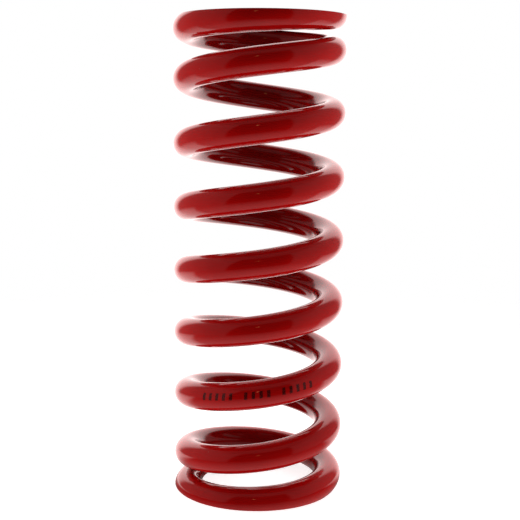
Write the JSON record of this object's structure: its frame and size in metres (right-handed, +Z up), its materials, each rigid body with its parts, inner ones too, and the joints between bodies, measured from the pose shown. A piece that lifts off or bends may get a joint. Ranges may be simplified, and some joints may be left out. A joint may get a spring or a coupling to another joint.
{
  "type": "coil spring",
  "caption": "Coil-over suspension spring of coated round wire, wound right-handed, with closed and ground ends that sit flat on a collar at top and bottom.",
  "frame": {"origin": "centre of the lower ground face, on the coil's axis", "axes": "+Z up along the coil's axis to the upper ground face, +Y towards the wire's two tips at the rear, +X to the right seen from the front"},
  "size_m": [0.0828, 0.0828, 0.23],
  "materials": {
    "coating": "gloss"
  },
  "bodies": {
    "lower_end_coil": {"lower_end_coil": "coating"},
    "coil_1_left": {"coil_1_left": "coating"},
    "coil_1_right": {"coil_1_right": "coating"},
    "coil_2_left": {"coil_2_left": "coating"},
    "coil_2_right": {"coil_2_right": "coating"},
    "coil_3_left": {"coil_3_left": "coating"},
    "coil_3_right": {"coil_3_right": "coating"},
    "coil_4_left": {"coil_4_left": "coating"},
    "coil_4_right": {"coil_4_right": "coating"},
    "coil_5_left": {"coil_5_left": "coating"},
    "coil_5_right": {"coil_5_right": "coating"},
    "coil_6_left": {"coil_6_left": "coating"},
    "coil_6_right": {"coil_6_right": "coating"},
    "coil_7_left": {"coil_7_left": "coating"},
    "coil_7_right": {"coil_7_right": "coating"},
    "upper_end_coil": {"upper_end_coil": "coating"}
  },
  "joints": [
    {"name": "compression", "type": "slide", "parent": "lower_end_coil", "child": "upper_end_coil", "axis": [0, 0, -1], "range_m": [0, 0.105], "stiffness_N_per_m": 130000},
    {"name": "twist_coil_1_left", "type": "hinge", "parent": "lower_end_coil", "child": "coil_1_left", "pos_m": [0, 0.0347, 0.01035], "axis": [1, 0, 0], "range_deg": [0, 4.61]},
    {"name": "twist_coil_1_right", "type": "hinge", "parent": "coil_1_left", "child": "coil_1_right", "pos_m": [0, -0.0347, 0.02392], "axis": [1, 0, 0], "range_deg": [-11.28, 0]},
    {"name": "twist_coil_2_left", "type": "hinge", "parent": "coil_1_right", "child": "coil_2_left", "pos_m": [0, 0.0347, 0.03924], "axis": [1, 0, 0], "range_deg": [0, 13.02]},
    {"name": "twist_coil_2_right", "type": "hinge", "parent": "coil_2_left", "child": "coil_2_right", "pos_m": [0, -0.0347, 0.05456], "axis": [1, 0, 0], "range_deg": [-13.02, 0]},
    {"name": "twist_coil_3_left", "type": "hinge", "parent": "coil_2_right", "child": "coil_3_left", "pos_m": [0, 0.0347, 0.06988], "axis": [1, 0, 0], "range_deg": [0, 13.02]},
    {"name": "twist_coil_3_right", "type": "hinge", "parent": "coil_3_left", "child": "coil_3_right", "pos_m": [0, -0.0347, 0.0852], "axis": [1, 0, 0], "range_deg": [-13.02, 0]},
    {"name": "twist_coil_4_left", "type": "hinge", "parent": "coil_3_right", "child": "coil_4_left", "pos_m": [0, 0.0347, 0.10051], "axis": [1, 0, 0], "range_deg": [0, 13.02]},
    {"name": "twist_coil_7_right", "type": "hinge", "parent": "upper_end_coil", "child": "coil_7_right", "pos_m": [0, 0.0347, 0.21965], "axis": [1, 0, 0], "range_deg": [-3.3, 0]},
    {"name": "twist_coil_7_left", "type": "hinge", "parent": "coil_7_right", "child": "coil_7_left", "pos_m": [0, -0.0347, 0.20759], "axis": [1, 0, 0], "range_deg": [0, 9.51]},
    {"name": "twist_coil_6_right", "type": "hinge", "parent": "coil_7_left", "child": "coil_6_right", "pos_m": [0, 0.0347, 0.19243], "axis": [1, 0, 0], "range_deg": [-12.89, 0]},
    {"name": "twist_coil_6_left", "type": "hinge", "parent": "coil_6_right", "child": "coil_6_left", "pos_m": [0, -0.0347, 0.17711], "axis": [1, 0, 0], "range_deg": [0, 13.02]},
    {"name": "twist_coil_5_right", "type": "hinge", "parent": "coil_6_left", "child": "coil_5_right", "pos_m": [0, 0.0347, 0.16179], "axis": [1, 0, 0], "range_deg": [-13.02, 0]},
    {"name": "twist_coil_5_left", "type": "hinge", "parent": "coil_5_right", "child": "coil_5_left", "pos_m": [0, -0.0347, 0.14647], "axis": [1, 0, 0], "range_deg": [0, 13.02]},
    {"name": "twist_coil_4_right", "type": "hinge", "parent": "coil_5_left", "child": "coil_4_right", "pos_m": [0, 0.0347, 0.13115], "axis": [1, 0, 0], "range_deg": [-13.02, 0]}
  ],
  "couplings": [
    {"joint": "twist_coil_1_left", "follows": "compression", "rad_per_m": 0.76455},
    {"joint": "twist_coil_1_right", "follows": "compression", "rad_per_m": -1.8731},
    {"joint": "twist_coil_2_left", "follows": "compression", "rad_per_m": 2.1629},
    {"joint": "twist_coil_2_right", "follows": "compression", "rad_per_m": -2.1629},
    {"joint": "twist_coil_3_left", "follows": "compression", "rad_per_m": 2.1629},
    {"joint": "twist_coil_3_right", "follows": "compression", "rad_per_m": -2.1629},
    {"joint": "twist_coil_4_left", "follows": "compression", "rad_per_m": 2.1629},
    {"joint": "twist_coil_7_right", "follows": "compression", "rad_per_m": -0.5473},
    {"joint": "twist_coil_7_left", "follows": "compression", "rad_per_m": 1.5798},
    {"joint": "twist_coil_6_right", "follows": "compression", "rad_per_m": -2.1411},
    {"joint": "twist_coil_6_left", "follows": "compression", "rad_per_m": 2.1629},
    {"joint": "twist_coil_5_right", "follows": "compression", "rad_per_m": -2.1629},
    {"joint": "twist_coil_5_left", "follows": "compression", "rad_per_m": 2.1629},
    {"joint": "twist_coil_4_right", "follows": "compression", "rad_per_m": -2.1629}
  ]
}
